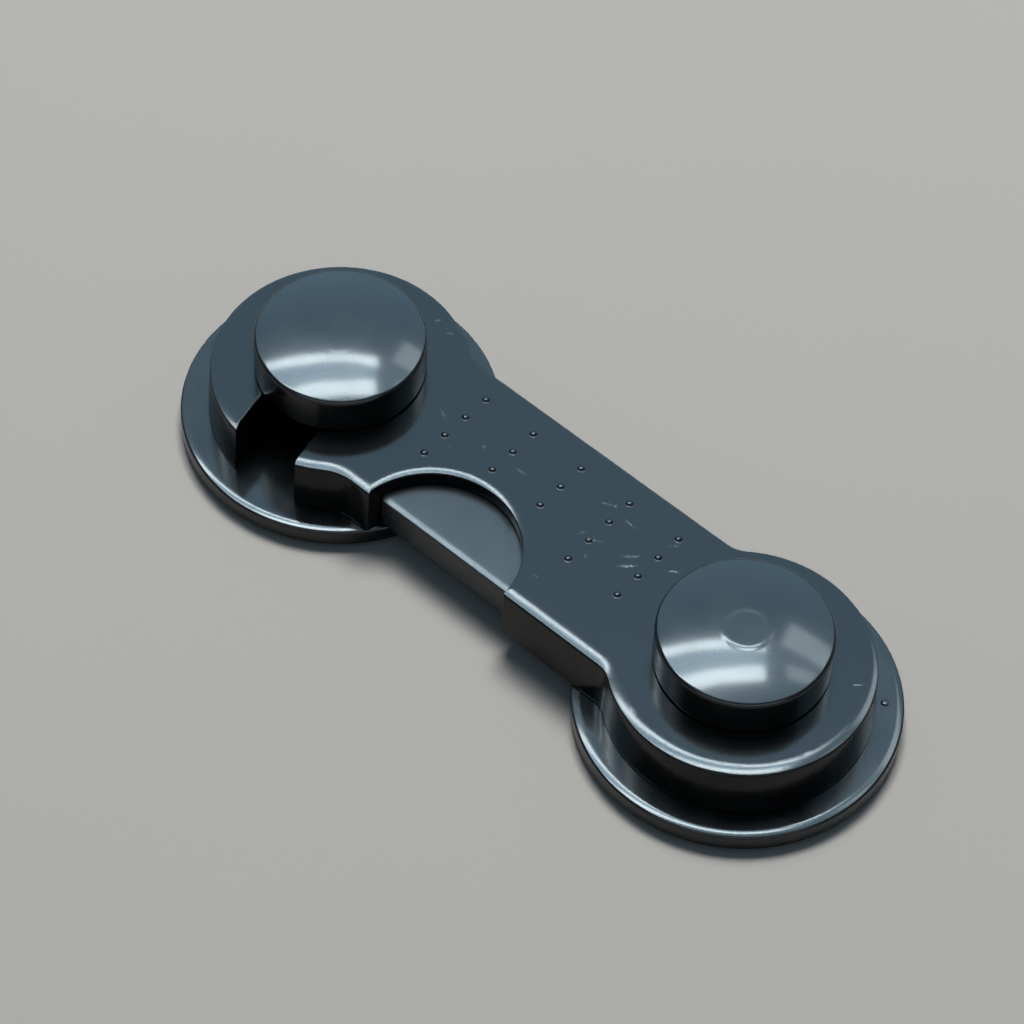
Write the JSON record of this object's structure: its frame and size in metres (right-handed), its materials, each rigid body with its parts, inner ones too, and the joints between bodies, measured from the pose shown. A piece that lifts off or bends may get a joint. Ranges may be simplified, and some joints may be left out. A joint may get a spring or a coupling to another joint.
{
  "type": "cabinet safety lock",
  "caption": "Black cabinet safety lock: a swinging arm on one stick-on disc hooks a post on the other, held by a sprung bolt that a push button draws.",
  "frame": {"origin": "on the surface that the discs stick to, midway between the two posts", "axes": "+X along the arm towards the pivot disc, -Y the side of the button and the hook's mouth, +Z away from the surface"},
  "size_m": [0.105, 0.04, 0.0184],
  "materials": {
    "arm_plastic": "black ABS, semi-gloss with fine flow marks",
    "button_plastic": "black ABS, satin",
    "disc_plastic": "black ABS, semi-gloss",
    "knob_plastic": "black ABS, glossy",
    "pad_foam": "black acrylic foam tape",
    "steel": "zinc-plated"
  },
  "bodies": {
    "mounts": {"pivot_base": "disc_plastic", "pivot_knob": "knob_plastic", "pivot_screw": "steel", "pivot_pad": "pad_foam", "catch_base": "disc_plastic", "catch_knob": "knob_plastic", "catch_screw": "steel", "catch_pad": "pad_foam"},
    "arm": {"arm_shell": "arm_plastic", "arm_underplate": "arm_plastic", "underplate_screws": "steel", "latch_spring": "steel"},
    "button": {"release_button": "button_plastic"},
    "bolt": {"latch_bolt": "button_plastic"}
  },
  "joints": [
    {"name": "arm_swing", "type": "hinge", "parent": "mounts", "child": "arm", "pos_m": [0.0325, 0, 0.0075], "axis": [0, 0, 1], "range_deg": [-340, 0]},
    {"name": "button_press", "type": "slide", "parent": "arm", "child": "button", "axis": [0, 1, 0], "range_m": [0, 0.003], "stiffness_N_per_m": 400, "springref_m": -0.003, "deforming": ["latch_spring"]},
    {"name": "bolt_draw", "type": "slide", "parent": "arm", "child": "bolt", "axis": [1, 0, 0], "range_m": [0, 0.003]}
  ],
  "couplings": [
    {"joint": "bolt_draw", "follows": "button_press", "ratio": 1}
  ]
}
